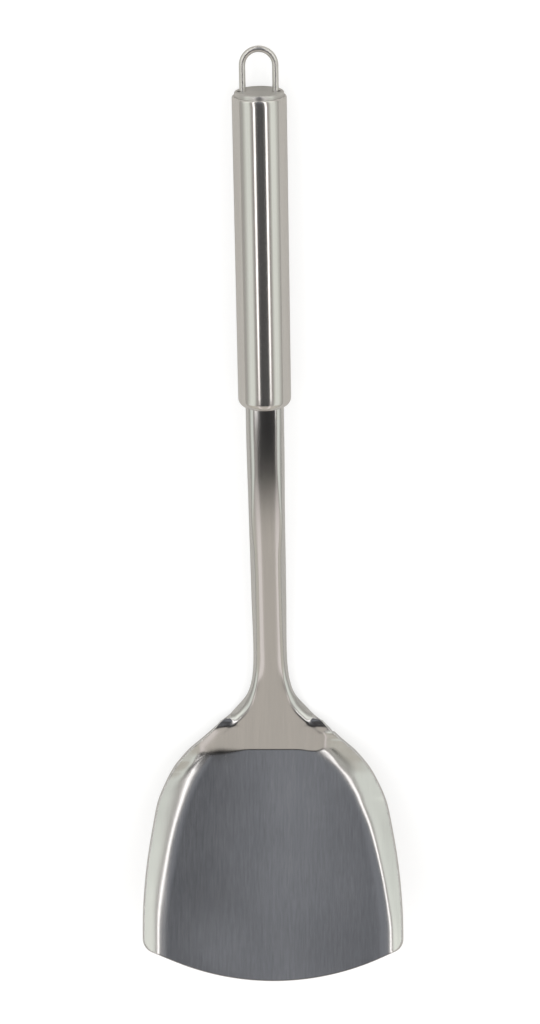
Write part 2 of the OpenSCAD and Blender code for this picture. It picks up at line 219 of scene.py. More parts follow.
# ---------------------------------------------------------------- finishes
class Tree:
    """Short forms for making node trees."""

    def __init__(self, tree):
        self.tree = tree
        tree.nodes.clear()

    def node(self, kind, **settings):
        n = self.tree.nodes.new(kind)
        for k, v in settings.items():
            setattr(n, k, v)
        return n

    def put(self, socket, value):
        if isinstance(value, bpy.types.NodeSocket):
            self.tree.links.new(value, socket)
        else:
            socket.default_value = value

    def math(self, op, a, b=None, c=None, clamp=False):
        n = self.node("ShaderNodeMath", operation=op, use_clamp=clamp)
        for socket, value in zip(n.inputs, (a, b, c)):
            if value is not None:
                self.put(socket, value)
        return n.outputs[0]

    def add(self, *values):
        total = values[0]
        for v in values[1:]:
            total = self.math("ADD", total, v)
        return total

    def mul(self, *values):
        total = values[0]
        for v in values[1:]:
            total = self.math("MULTIPLY", total, v)
        return total

    def step(self, value, low, high, out0=0.0, out1=1.0, kind="SMOOTHSTEP"):
        n = self.node("ShaderNodeMapRange", interpolation_type=kind)
        for k, v in (("Value", value), ("From Min", low), ("From Max", high), ("To Min", out0), ("To Max", out1)):
            self.put(n.inputs[k], v)
        return n.outputs[0]

    def scaled(self, vector, by, turn=0.0, move=(0, 0, 0)):
        n = self.node("ShaderNodeMapping", vector_type="POINT")
        self.put(n.inputs["Vector"], vector)
        n.inputs["Rotation"].default_value = (0, 0, turn)
        first = n.outputs[0]
        m = self.node("ShaderNodeMapping", vector_type="POINT")
        self.put(m.inputs["Vector"], first)
        m.inputs["Scale"].default_value = by
        m.inputs["Location"].default_value = move
        return m.outputs[0]

    def noise(self, vector, detail=2.0, roughness=0.5, scale=1.0):
        n = self.node("ShaderNodeTexNoise", noise_dimensions="3D")
        self.put(n.inputs["Vector"], vector)
        n.inputs["Scale"].default_value = scale
        n.inputs["Detail"].default_value = detail
        n.inputs["Roughness"].default_value = roughness
        return n.outputs["Fac"]

    def times(self, a, b):
        n = self.node("ShaderNodeMix", data_type="RGBA", blend_type="MULTIPLY")
        n.inputs[0].default_value = 1.0
        self.put(n.inputs[6], a)
        self.put(n.inputs[7], b)
        return n.outputs[2]

    def colour(self, fac, a, b):
        n = self.node("ShaderNodeMix", data_type="RGBA", clamp_factor=True)
        self.put(n.inputs[0], fac)
        self.put(n.inputs[6], a)
        self.put(n.inputs[7], b)
        return n.outputs[2]


def steel(name, dark, light, rough, spread=0.05, streak=(0.5, 28.0), fine=(0.11, 9.0), depth=(0.0009, 0.00035), wave=0.0,
          scratch=0.5, anisotropic=0.0, lay=True, tint=None, seed=0.0, metallic=1.0, shank=None, with_painted_shade=False):
    """Stainless steel with lengthwise brushing: streaks and fine lines in bump, roughness and colour, soft smears, stray
    scratches and a faint waviness. Sizes are in mm."""
    material = bpy.data.materials.new(name)
    material.use_nodes = True
    t = Tree(material.node_tree)
    if lay:
        co = t.node("ShaderNodeAttribute", attribute_name="lay", attribute_type="GEOMETRY").outputs["Vector"]
    else:
        co = t.scaled(t.node("ShaderNodeTexCoord").outputs["Object"], (1000, 1000, 1000))
    move = (seed, seed * 1.7, seed * 0.6)
    streaks = t.noise(t.scaled(co, (1 / streak[0], 1 / streak[1], 1 / streak[0]), move=move), 2.5, 0.55)
    lines = t.noise(t.scaled(co, (1 / fine[0], 1 / fine[1], 1 / fine[0]), move=move), 2.0, 0.6)
    broad = t.noise(t.scaled(co, (1 / 5.0, 1 / 70.0, 1 / 5.0), move=move), 2.0, 0.5)
    smear = t.noise(t.scaled(co, (1 / 17.0, 1 / 21.0, 1 / 17.0), move=(3 + seed, 1, 2)), 4.0, 0.6)
    marks = None
    for i, (turn, width, length, cut) in enumerate(((0.06, 0.16, 7.0, 0.735), (-0.5, 0.13, 4.5, 0.765), (1.25, 0.12, 5.0, 0.78),
                                                    (0.35, 0.2, 11.0, 0.77))):
        n = t.noise(t.scaled(co, (1 / width, 1 / length, 1 / width), turn=turn, move=(11 * i + seed, 5 * i, 3 * i)), 1.0, 0.5)
        n = t.step(n, cut, cut + 0.05)
        marks = n if marks is None else t.math("MAXIMUM", marks, n)
    marks = t.mul(marks, scratch)
    roughness = t.add(rough - spread * 0.9, t.mul(streaks, spread * 0.8), t.mul(smear, spread), t.mul(marks, 0.12))
    colour = t.colour(t.step(t.add(t.mul(streaks, 0.5), t.mul(broad, 0.5)), 0.3, 0.7, kind="LINEAR"), (*dark, 1), (*light, 1))
    if tint is not None:
        colour = t.colour(t.step(smear, 0.42, 0.68), colour, (*tint, 1))
    if shank is not None:
        place = t.node("ShaderNodeSeparateXYZ")
        t.put(place.inputs[0], co)
        roughness = t.add(roughness, t.step(place.outputs[1], 2, 30, 0.0, shank - rough))
        # drawn streaks show on the flat and fade out on the shoulder
        drawn = t.noise(t.scaled(co, (1 / 0.8, 1 / 10.0, 1 / 0.8), move=(seed, 3, 1)), 1.5, 0.5)
        short = t.noise(t.scaled(co, (1 / 0.5, 1 / 3.2, 1 / 0.5), move=(5, seed, 1)), 1.0, 0.5)
        cloud = t.noise(t.scaled(co, (1 / 19.0, 1 / 26.0, 1 / 19.0), move=(8, 4, seed)), 2.0, 0.5)
        tone = t.add(t.mul(t.math("SUBTRACT", drawn, 0.5), 0.24), t.mul(t.math("SUBTRACT", short, 0.5), 0.16),
                     t.mul(t.math("SUBTRACT", cloud, 0.5), 0.17))
        # painted shade: the first channel of this attribute darkens the flat's colour towards its sides; the second
        # sets where the streaks show
        painted_shade_and_streak_mask = t.node("ShaderNodeSeparateXYZ")
        t.put(painted_shade_and_streak_mask.inputs[0], t.node("ShaderNodeAttribute", attribute_name="painted_shade_and_streak_mask", attribute_type="GEOMETRY").outputs["Vector"])
        tone = t.mul(tone, t.add(0.15, t.mul(painted_shade_and_streak_mask.outputs[1], 0.85)))
        tone = t.add(1.0, tone, t.mul(painted_shade_and_streak_mask.outputs[0], -1.0))
        grey = t.node("ShaderNodeCombineXYZ")
        for socket in grey.inputs:
            t.put(socket, tone)
        colour = t.times(colour, grey.outputs[0])
    # painted shade: the attribute read here darkens the colour along the creases and in the pockets, where shade falls,
    # and roughens it a little
    if with_painted_shade:
        painted_shade = t.node("ShaderNodeAttribute", attribute_name="painted_shade", attribute_type="GEOMETRY").outputs["Fac"]
        painted_shade = t.mul(painted_shade, t.step(t.add(t.mul(smear, 0.6), t.mul(streaks, 0.4)), 0.2, 0.62, 0.72, 1.0))
        colour = t.colour(painted_shade, colour, t.times(colour, (0.10, 0.10, 0.10, 1)))
        roughness = t.add(roughness, t.mul(painted_shade, 0.15))
    height = t.add(t.mul(streaks, depth[0]), t.mul(lines, depth[1]), t.mul(marks, -0.0012))
    if wave:
        height = t.add(height, t.mul(t.noise(t.scaled(co, (1 / 13.0, 1 / 33.0, 1 / 13.0), move=(7, 2, seed)), 1.0, 0.4), wave))
    bump = t.node("ShaderNodeBump")
    bump.inputs["Strength"].default_value = 1.0
    bump.inputs["Distance"].default_value = 0.001
    t.put(bump.inputs["Height"], height)
    shader = t.node("ShaderNodeBsdfPrincipled")
    shader.inputs["Metallic"].default_value = metallic
    shader.inputs["Anisotropic"].default_value = anisotropic
    t.put(shader.inputs["Base Color"], colour)
    t.put(shader.inputs["Roughness"], t.math("MAXIMUM", roughness, 0.05))
    t.put(shader.inputs["Normal"], bump.outputs["Normal"])
    t.put(t.node("ShaderNodeOutputMaterial").inputs["Surface"], shader.outputs[0])
    return material


blade_steel = steel("brushed_sheet", (0.612, 0.615, 0.618), (0.676, 0.675, 0.674), 0.2, spread=0.06, streak=(0.4, 22.0),
                    depth=(0.0012, 0.0004), wave=0.02, shank=0.15, with_painted_shade=True)
tube_steel = steel("polished_tube", (0.63, 0.62, 0.61), (0.70, 0.69, 0.68), 0.125, spread=0.04, streak=(0.5, 60.0),
                   depth=(0.0006, 0.0003), wave=0.015, seed=4.0, metallic=0.94)
cap_steel = steel("satin_cap", (0.60, 0.595, 0.585), (0.66, 0.655, 0.645), 0.33, spread=0.05, streak=(0.4, 6.0),
                  depth=(0.0006, 0.0003), seed=9.0)
wire_steel = steel("drawn_wire", (0.66, 0.65, 0.64), (0.74, 0.73, 0.72), 0.27, spread=0.06, streak=(0.25, 14.0), fine=(0.07, 5.0),
                   depth=(0.0005, 0.0003), seed=14.0)
weld_steel = steel("weld", (0.42, 0.40, 0.37), (0.58, 0.56, 0.53), 0.36, spread=0.12, streak=(0.9, 1.2), fine=(0.25, 0.3),
                   depth=(0.006, 0.004), scratch=0.0, tint=(0.50, 0.41, 0.30), seed=21.0)
plate_steel = steel("plate", (0.52, 0.515, 0.51), (0.62, 0.615, 0.61), 0.32, spread=0.08, streak=(0.5, 5.0), lay=False, seed=27.0)

# ---------------------------------------------------------------- the stamping: blade, shoulder, shank and tang from one sheet
RIM = 0.36
NA, NB, NC = 24, 44, 14
NH = NA + NB + NC


def edge(y):
    """Half width of the grid, which stops short of the rounded rim."""
    k = slope(OUT, y)
    return curve(OUT, y) - 0.33 * np.sqrt(1 + k * k)


def strips(y, side):
    """Distance of each column from the middle at station y."""
    o = edge(y)
    s = ease((y + 2) / 11)
    fold = (1 - s) * curve(FOLD[side], y) + s * curve(FLANGE, y)
    near = s * (curve(FWIDE, y) + 0.4)
    a = np.minimum(fold - (1 - s) * 6.8 - near, o * 0.75)
    b = np.minimum(fold + (1 - s) * 4.4 + near, o - (o - a) * 0.16)
    i = np.arange(NH + 1)
    inner = a * np.sin(np.minimum(i / NA, 1) * 1.2) / math.sin(1.2)
    bend = a + (b - a) * (i - NA) / NB
    outer = b + (o - b) * np.sin(np.clip((i - NA - NB) / NC, 0, 1) * math.pi / 2)
    return np.where(i <= NA, inner, np.where(i <= NA + NB, bend, outer))


corner_x = blade_half - corner_radius
front_mid = front_radius - blade_len
corner_y = front_mid - math.sqrt((front_radius - corner_radius) ** 2 - corner_x**2)
fr, cr = front_radius - 0.33, corner_radius - 0.33
tangent_x = corner_x * fr / (front_radius - corner_radius)
from_y = -62.0
columns = strips(-74.0, 1)
front_y = np.where(columns < tangent_x, front_mid - np.sqrt(fr * fr - np.minimum(columns, tangent_x) ** 2),
                   corner_y - np.sqrt(np.clip(cr * cr - (columns - corner_x) ** 2, 0, None)))


def steps():
    """Stations from the blade to the end of the tang, close together where the sheet is bent."""
    found, y = [], from_y
    while y < y_tang - 0.01:
        found.append(y)
        near = min(abs(y), 99)
        gap = (0.14 if near < 1.4 else 0.28 if -15 < y < 16 else 0.4 if 0 < y < 32 else 1.1 if y < 0 else 1.3)
        y += gap
    return found + [y_tang]


rows_x, rows_y = {-1: [], 1: []}, []
for f in (np.linspace(0, 1, 27)[:-1] ** 1.3):
    y = front_y + (from_y - front_y) * f
    rows_y.append(y)
    for side in (-1, 1):
        rows_x[side].append(np.array([strips(v, side)[k] for k, v in enumerate(y)]))
for y in steps():
    rows_y.append(np.full(NH + 1, y))
    for side in (-1, 1):
        rows_x[side].append(strips(y, side))
Y = np.array(rows_y)
X, Y = np.concatenate([-np.array(rows_x[-1])[:, :0:-1], np.array(rows_x[1])], 1), np.concatenate([Y[:, :0:-1], Y], 1)
NS, W = X.shape
P, N = surface(X, Y)
P, N = P.reshape(-1, 3), N.reshape(-1, 3)
U = P - sheet * N
# unrolled place: across from the middle, along from the heel
across = np.zeros((NS, W))
G = P.reshape(NS, W, 3)
gaps = np.linalg.norm(np.diff(G, axis=1)[..., [0, 2]], axis=2)
across[:, NH + 1:] = np.cumsum(gaps[:, NH:], 1)
across[:, :NH] = -np.cumsum(gaps[:, :NH][:, ::-1], 1)[:, ::-1]
along = np.where(Y < 0, Y, Y / np.cos(np.where(Y < y1, shoulder_a, (shoulder_a + lean(Y)) / 2)))
flat = np.stack([across.ravel(), along.ravel(), np.zeros(NS * W)], -1)

ring = ([i for i in range(W)] + [j * W + W - 1 for j in range(1, NS)] + [(NS - 1) * W + i for i in range(W - 2, -1, -1)]
        + [j * W for j in range(NS - 2, 0, -1)])
R = P[ring]
ahead = np.roll(R, -1, 0) - R
behind = R - np.roll(R, 1, 0)
la, lb = np.linalg.norm(ahead, axis=1, keepdims=True), np.linalg.norm(behind, axis=1, keepdims=True)
tangent = ahead / la * lb + behind / lb * la
tangent /= np.linalg.norm(tangent, axis=1, keepdims=True)
outward = np.cross(tangent, N[ring])
outward /= np.linalg.norm(outward, axis=1, keepdims=True)
points, lays, faces = [P], [flat], []
for j in range(NS - 1):
    for i in range(W - 1):
        a = j * W + i
        faces.append((a, a + 1, a + W + 1, a + W))
previous = np.array(ring)
count = NS * W
profile = [(math.sin(q) * RIM, RIM - math.cos(q) * RIM) for q in np.linspace(0, math.pi / 2, 6)[1:]]
profile += [(RIM, sheet / 2)]
profile += [(math.sin(q) * RIM, sheet - RIM + math.cos(q) * RIM) for q in np.linspace(math.pi / 2, 0, 6)[:-1]]
L = len(ring)
for out, down in profile:
    points.append(R + out * outward - down * N[ring])
    lays.append(flat[ring] + np.array([0, 0, -down]) + np.stack([out * np.sign(across.ravel()[ring]), np.zeros(L), np.zeros(L)], -1))
    here = np.arange(count, count + L)
    faces += [(previous[k], here[k], here[(k + 1) % L], previous[(k + 1) % L]) for k in range(L)]
    previous = here
    count += L
points.append(U)
lays.append(flat + np.array([40.0, 13.0, -sheet]))
for j in range(NS - 1):
    for i in range(W - 1):
        a = count + j * W + i
        faces.append((a, a + W, a + W + 1, a + 1))
here = count + np.array(ring)
faces += [(previous[k], here[k], here[(k + 1) % L], previous[(k + 1) % L]) for k in range(L)]
stamping = make("stamping", from_blade(np.concatenate(points)), faces, blade_steel, np.concatenate(lays), ["blade_and_shank"])


def along_line(x, y, spots):
    """Darkness round a line of [x, y, half width, strength] spots."""
    found = np.zeros_like(x)
    for (xa, ya, wa, sa), (xb, yb, wb, sb) in zip(spots, spots[1:]):
        dx, dy = xb - xa, yb - ya
        t = np.clip(((x - xa) * dx + (y - ya) * dy) / (dx * dx + dy * dy), 0, 1)
        d = np.hypot(x - xa - t * dx, y - ya - t * dy) / (wa + (wb - wa) * t)
        found = np.maximum(found, (sa + (sb - sa) * t) * np.exp(-d * d))
    return found


# painted shade: darker colour drawn along the heel crease, along the creases in the side walls and in the pockets
# beside the flanges, where shade and dark reflections fall, and over one bright speck of reflection near the right
# pocket
gx, gy = X.ravel(), Y.ravel()
marks = [
    [(-27, -1.6, 0.9, 0.4), (-24.5, -1.3, 1.4, 0.8), (-20, -1.0, 1.4, 0.85), (-15, -0.6, 0.8, 0.55), (-11, -0.2, 0.4, 0.1)],
    [(-26, -2.2, 1.6, 0.1), (-23, -2.8, 2.4, 0.32), (-18, -2.4, 2.2, 0.28), (-13, -1.4, 1.2, 0.0)],
    [(-26.4, -2.4, 1.2, 0.85), (-28.4, -4.8, 1.3, 0.8), (-30.0, -6.8, 1.2, 0.45), (-31.3, -9.0, 1.2, 0.0)],
    [(-26.0, -1.7, 0.6, 0.8), (-30, -4.6, 0.6, 0.85), (-33.4, -8, 0.8, 0.7), (-35.5, -12, 1.0, 0.0)],
    [(-29.9, -3.4, 0.8, 0.6), (-28.4, -2.0, 1.0, 0.95), (-27.4, -1.3, 0.8, 0.6)],
    [(23.4, 0.5, 0.5, 0.3), (24.5, 0.1, 0.7, 0.7), (25.7, -0.9, 0.9, 0.65), (27.1, -2.3, 1.3, 0.5), (30.0, -5.2, 1.5, 0.42), (33.5, -10, 1.6, 0.0)],
    [(22.8, 8.9, 0.6, 0.6), (24.2, 8.0, 0.7, 0.75), (25.6, 6.9, 0.6, 0.4)],
    [(-23.4, 8.9, 0.5, 0.8), (-21.2, 10.2, 0.8, 0.7), (-19.4, 11.4, 0.9, 0.6), (-18.0, 11.3, 0.8, 0.4), (-16.2, 10.6, 0.5, 0.0)],
    [(23.6, 9.2, 0.5, 0.8), (21.4, 10.8, 0.8, 0.7), (19.6, 11.8, 0.9, 0.6), (18.4, 11.8, 0.8, 0.4), (17.0, 11.2, 0.5, 0.0)],
]
dark = np.zeros(len(stamping.data.vertices), np.float32)
dark[:NS * W] = np.max([along_line(gx, gy, spots) for spots in marks], 0)
stamping.data.attributes.new("painted_shade", "FLOAT", "POINT").data.foreach_set("value", dark)
# painted shade: the flat's colour is darkened towards its sides, most towards the left, fading out at the folds; the
# second channel marks the flat, where the drawn streaks show
painted_shade_and_streak_mask = np.zeros((len(stamping.data.vertices), 3), np.float32)
reach = np.where(gx < 0, curve(FOLD[-1], gy), curve(FOLD[1], gy)) - 4.5
flat_part = ease((reach - np.abs(gx)) / 2.5 + 0.5) * ease(-gy / 3 + 0.5)
painted_shade_and_streak_mask[:NS * W, 0] = np.where(gx < 6, 0.36 * ease((6 - gx) / 40), 0.20 * ease((gx - 6) / 40)) * flat_part
# painted light and shade: a lighter patch towards the front on the left and a darker one towards the front on the right
painted_shade_and_streak_mask[:NS * W, 0] += (0.10 * np.exp(-((gx - 18) / 22) ** 2 - ((gy + 76) / 15) ** 2)
                     - 0.20 * np.exp(-((gx + 24) / 15) ** 2 - ((gy + 80) / 15) ** 2)) * flat_part
painted_shade_and_streak_mask[:NS * W, 1] = flat_part
stamping.data.attributes.new("painted_shade_and_streak_mask", "FLOAT_VECTOR", "POINT").data.foreach_set("vector", painted_shade_and_streak_mask.ravel())


# ---------------------------------------------------------------- turned parts on the handle's axis
def arc(cx, cz, r, a0, a1, n):
    """Points of an arc in section: [radius, height], angles in degrees from the outward direction."""
    return [(cx + r * math.cos(math.radians(q)), cz + r * math.sin(math.radians(q))) for q in np.linspace(a0, a1, n)]


def lathe(section, n, closed=True):
    """Points, faces and unrolled places of a section turned round the axis. The section runs anticlockwise seen with the axis up."""
    s = np.array(section, float)
    m = len(s)
    run = np.concatenate([[0], np.cumsum(np.linalg.norm(np.diff(s, axis=0), axis=1))])
    q = np.arange(n) / n * 2 * math.pi
    pts = np.stack([np.outer(s[:, 0], np.cos(q)), np.outer(s[:, 0], np.sin(q)), np.repeat(s[:, 1:2], n, 1)], -1)
    lay = np.stack([np.outer(np.full(m, tube_r), q), np.repeat(run[:, None], n, 1), np.repeat(s[:, :1], n, 1)], -1)
    fs = []
    for a in range(m if closed else m - 1):
        b = (a + 1) % m
        fs += [(a * n + k, a * n + (k + 1) % n, b * n + (k + 1) % n, b * n + k) for k in range(n)]
    return pts.reshape(-1, 3), fs, lay.reshape(-1, 3)


soft = 0.2
mouth_out = nose_r - math.sqrt(nose_r**2 - (mouth_r - (tube_r - nose_r)) ** 2)
mouth_in = nose_r - math.sqrt((nose_r - tube_wall) ** 2 - (mouth_r - (tube_r - nose_r)) ** 2)
tube_section = (
    arc(mouth_r + soft, mouth_out + soft + 0.02, soft, 180, 258, 5)
    + arc(tube_r - nose_r, nose_r, nose_r, -90 + 20, 0, 16)
    + [(tube_r, z) for z in np.linspace(nose_r, tube_len - lip_r, 50)[1:-1]]
    + arc(tube_r - lip_r, tube_len - lip_r, lip_r, 0, 90, 10)
    + arc(tube_r - tube_wall + 0.15, tube_len - 0.15, 0.15, 90, 180, 5)
    + [(tube_r - tube_wall, z) for z in np.linspace(tube_len - 1, nose_r, 30)]
    + arc(tube_r - nose_r, nose_r, nose_r - tube_wall, 0, -66, 10)
    + arc(mouth_r + soft, mouth_in - soft, soft, 95, 180, 5)
)
pts, fs, lay = lathe(tube_section, 192)
make("tube", from_handle(pts), fs, tube_steel, lay, ["handle_tube"])

# cap: turned skirt and edge, and flat discs with the two slots for the wire
top_at = tube_len + cap_stand
cap_r, cap_edge = tube_r - tube_wall, 0.7
CN = 160
slot_r, slot_soft = wire_r + 0.1, 0.16


def slot_loop(side, grow, n=24):
    """Outline of one slot, anticlockwise."""
    r = slot_r + grow
    x0, x1 = sorted((side * arch_r, side * (arch_r + 0.75)))
    right = [(x1 + r * math.cos(q), r * math.sin(q)) for q in np.linspace(-math.pi / 2, math.pi / 2, n)]
    left = [(x0 + r * math.cos(q), r * math.sin(q)) for q in np.linspace(math.pi / 2, 3 * math.pi / 2, n)]
    return right + left


def disc(radius, n, grow, z, up):
    """A flat disc with the two slots left out, and rings of points over it."""
    outer = [(radius * math.cos(q), radius * math.sin(q)) for q in np.arange(n) / n * 2 * math.pi]
    loops = [slot_loop(s, grow) for s in (-1, 1)]
    verts, edges = [Vector(p) for p in outer], [(k, (k + 1) % n) for k in range(n)]
    for loop in loops:
        start = len(verts)
        verts += [Vector(p) for p in loop]
        edges += [(start + k, start + (k + 1) % len(loop)) for k in range(len(loop))]
    fixed = len(verts)
    for r in np.arange(0.7, radius - 0.3, 0.7):
        for q in np.arange(max(6, int(r * 9))) / max(6, int(r * 9)) * 2 * math.pi + r:
            x, y = r * math.cos(q), r * math.sin(q)
            if not any(math.hypot(max(0, abs(x - s * (arch_r + 0.375)) - 0.375), y) < slot_r + grow + 0.25 for s in (-1, 1)):
                verts.append(Vector((x, y)))
    out = geometry.delaunay_2d_cdt(verts, edges, [], 0, 1e-6)
    tris = []
    for f in out[2]:
        c = sum((out[0][v] for v in f), Vector((0, 0))) / len(f)
        if any(math.hypot(max(0, abs(c.x - s * (arch_r + 0.375)) - 0.375), c.y) < slot_r + grow - 1e-4 for s in (-1, 1)):
            continue
        if c.length > radius * math.cos(math.pi / n):
            continue
        a, b, d = (out[0][v] for v in f)
        turn = (b - a).cross(d - a)
        tris.append(tuple(f) if (turn > 0) == up else tuple(reversed(f)))
    where = {o: i for i, olds in enumerate(out[3]) for o in olds}
    pts = [(p.x, p.y, z) for p in out[0]]
    outer_ids = [where[k] for k in range(n)]
    loop_ids, start = [], n
    for loop in loops:
        loop_ids.append([where[start + k] for k in range(len(loop))])
        start += len(loop)
    return pts, tris, outer_ids, loop_ids


def bridge(a, b):
    """Quads between two rings of the same count, a before b in the section's own order."""
    n = len(a)
    return [(a[k], a[(k + 1) % n], b[(k + 1) % n], b[k]) for k in range(n)]


cap_pts, cap_faces = [], []


def cap_ring(r, z):
    start = len(cap_pts)
    cap_pts.extend([(r * math.cos(q), r * math.sin(q), z) for q in np.arange(CN) / CN * 2 * math.pi])
    return list(range(start, start + CN))


top_pts, tris, top_outer, top_loops = disc(cap_r - cap_edge, CN, slot_soft, 0.0, True)
cap_pts += top_pts
cap_faces += tris
base = len(cap_pts)
low_pts, tris, low_outer, low_loops = disc(cap_r - cap_wall - 0.3, CN, 0.0, -cap_wall, False)
cap_pts += low_pts
cap_faces += [tuple(v + base for v in f) for f in tris]
low_outer, low_loops = [v + base for v in low_outer], [[v + base for v in loop] for loop in low_loops]
chain = [top_outer[::1]]
for r, z in arc(cap_r - cap_edge, -cap_edge, cap_edge, 90, 0, 8)[1:]:
    chain.append(cap_ring(r, z))
for z in (-1.1, -1.6, -2.4, -4, -6, -7.3):
    chain.append(cap_ring(cap_r, z))
for r, z in ((cap_r - 0.06, -7.44), (cap_r - 0.2, -7.5), (cap_r - cap_wall + 0.2, -7.5), (cap_r - cap_wall + 0.06, -7.44)):
    chain.append(cap_ring(r, z))
for z in (-7.3, -4, -1.2):
    chain.append(cap_ring(cap_r - cap_wall, z))
for r, z in arc(cap_r - cap_wall - 0.3, -cap_wall - 0.3, 0.3, 0, 90, 6)[1:-1]:
    chain.append(cap_ring(r, z))
chain.append(low_outer)
for a, b in zip(chain, chain[1:]):
    cap_faces += [tuple(reversed(f)) for f in bridge(a, b)]
for side, upper, lower in zip((-1, 1), top_loops, low_loops):
    rings = [upper]
    for q in np.linspace(0, math.pi / 2, 5)[1:]:
        start = len(cap_pts)
        grow = slot_soft * (1 - math.sin(q))
        cap_pts.extend([(x, y, -slot_soft * (1 - math.cos(q))) for x, y in slot_loop(side, grow)])
        rings.append(list(range(start, len(cap_pts))))
    rings.append(lower)
    for a, b in zip(rings, rings[1:]):
        cap_faces += bridge(a, b)
cap_pts = np.array(cap_pts, float)
radial = np.hypot(cap_pts[:, 0], cap_pts[:, 1])
cap_lay = np.stack([cap_pts[:, 0], cap_pts[:, 1] * 0.15 + cap_pts[:, 2], cap_pts[:, 1]], -1)
make("cap", from_handle(cap_pts + np.array([0, 0, top_at])), cap_faces, cap_steel, cap_lay, ["end_cap"],
     angle=50, weighted=True)


# ---------------------------------------------------------------- wire loop
def sweep(path, normals, radius, n, squash=None):
    """A round section carried along a path, closed with flat ends; squash, if given, sets the radius at each point of
    the path. normals point out of the plane of the path.
    """
    path, normals = np.array(path, float), np.array(normals, float)
    along_ = np.gradient(path, axis=0)
    along_ /= np.linalg.norm(along_, axis=1, keepdims=True)
    side = np.cross(normals, along_)
    run = np.concatenate([[0], np.cumsum(np.linalg.norm(np.diff(path, axis=0), axis=1))])
    q = np.arange(n) / n * 2 * math.pi
    rad = np.full(len(path), radius) if squash is None else squash
    pts = path[:, None] + rad[:, None, None] * (np.cos(q)[None, :, None] * side[:, None] + np.sin(q)[None, :, None] * normals[:, None])
    lay = np.stack([np.outer(rad, q), np.repeat(run[:, None], n, 1), np.zeros((len(path), n))], -1)
    fs = []
    for a in range(len(path) - 1):
        fs += [(a * n + k, a * n + (k + 1) % n, (a + 1) * n + (k + 1) % n, (a + 1) * n + k) for k in range(n)]
    fs.append(tuple(range(n - 1, -1, -1)))
    last = (len(path) - 1) * n
    fs.append(tuple(last + k for k in range(n)))
    return pts.reshape(-1, 3), fs, lay.reshape(-1, 3)


arch_at = tube_len + cap_stand + loop_height - arch_r - wire_r
foot = top_at - cap_wall - 2.2
leg = np.concatenate([[foot, foot + 0.05, foot + 0.12, foot + 0.25], np.linspace(foot + 0.6, arch_at, 26)[:-1]])
path = [(-arch_r, 0, z) for z in leg]
path += [(-arch_r * math.cos(q), 0, arch_at + arch_r * math.sin(q)) for q in np.linspace(0, math.pi, 73)]
path += [(arch_r, 0, z) for z in leg[::-1]]
radii = np.full(len(path), wire_r)
for k, r in enumerate((0.9, 1.02, 1.1, 1.14)):
    radii[k] = radii[-1 - k] = r
pts, fs, lay = sweep(path, [(0, 1, 0)] * len(path), wire_r, 48, radii)
make("loop", from_handle(pts), fs, wire_steel, lay, ["hanging_loop"], angle=50)


# ---------------------------------------------------------------- welds
def grid_faces(rows, cols, wrap_rows=False, wrap_cols=False, start=0):
    fs = []
    for a in range(rows if wrap_rows else rows - 1):
        for b in range(cols if wrap_cols else cols - 1):
            p, q = (a + 1) % rows, (b + 1) % cols
            fs.append((start + a * cols + b, start + a * cols + q, start + p * cols + q, start + p * cols + b))
    return fs


pts, fs = [], []
for side in (-1, 1):
    n, m = 96, 18
    q = np.arange(n) / n * 2 * math.pi
    for k in range(n):
        ripple = 0.06 * abs(math.sin(q[k] * 9 + side)) + 0.04 * math.sin(q[k] * 3 + side * 2)
        for j in range(m):
            a = j / m * 2 * math.pi
            # a fillet between the wire and the underside of the cap
            r = wire_r + 0.46 + 0.44 * math.cos(a) - (0.1 + ripple) * max(0, math.cos(a))
            z = -0.62 + 0.6 * math.sin(a) * (1 - 0.35 * max(0, math.cos(a)))
            r = max(r, wire_r - 0.02)
            pts.append((side * arch_r + r * math.cos(q[k]), r * math.sin(q[k]), top_at - cap_wall + z))
    fs += grid_faces(n, m, True, True, (side > 0) * n * m)
pts = np.array(pts)
make("loop_weld_beads", from_handle(pts), fs, weld_steel, pts, ["loop_weld"])

pts, fs = [], []
for i, deg in enumerate((30, 150, 270)):
    rows, cols = 20, 40
    c, s = math.cos(math.radians(deg)), math.sin(math.radians(deg))
    start = len(pts)
    for j in range(rows + 1):
        lat = j / rows * math.pi
        for k in range(cols):
            lon = k / cols * 2 * math.pi
            u = math.sin(lat) * math.cos(lon) * 1.42 * (1 + 0.03 * math.sin(9 * lon))
            v = -0.45 + math.cos(lat) * 0.42 + 0.02 * math.sin(lon * 7)
            w = math.sin(lat) * math.sin(lon) * 0.42
            rr = tube_r - tube_wall - 0.62 + w
            pts.append((rr * c - u * s, rr * s + u * c, top_at - 7.5 + v * 0.95))
    fs += grid_faces(rows + 1, cols, False, True, start)
pts = np.array(pts)
make("cap_weld_tacks", from_handle(pts), fs, weld_steel, pts, ["cap_weld"])

pts = []
n, m = 150, 22
half = math.asin(4.55 / (mouth_r - 0.05))
for k in range(n + 1):
    f = k / n
    q = -math.pi / 2 + (f - 0.5) * 2 * half
    body = math.sin(min(1, min(f, 1 - f) * 14) * math.pi / 2) ** 0.6
    scallop = 0.82 + 0.18 * (1 - ((f * 13) % 1)) ** 0.5
    for j in range(m):
        a = j / m * 2 * math.pi
        r = mouth_r - 0.42 + 0.4 * math.cos(a) * body
        z = 0.52 + (0.42 * scallop * math.sin(a) if math.sin(a) < 0 else 0.36 * math.sin(a)) * body
        pts.append((r * math.cos(q), r * math.sin(q), z))
fs = grid_faces(n + 1, m, False, True)
fs = [tuple(reversed(f)) for f in fs] + [tuple(range(m)), tuple(n * m + k for k in range(m - 1, -1, -1))]
pts = np.array(pts)
make("shank_weld_bead", from_handle(pts), fs, weld_steel, pts * np.array([1.0, 1.0, 1.0]), ["shank_weld"])

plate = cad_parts["mouth_plate"]
plate.data.materials.clear()
plate.data.materials.append(plate_steel)

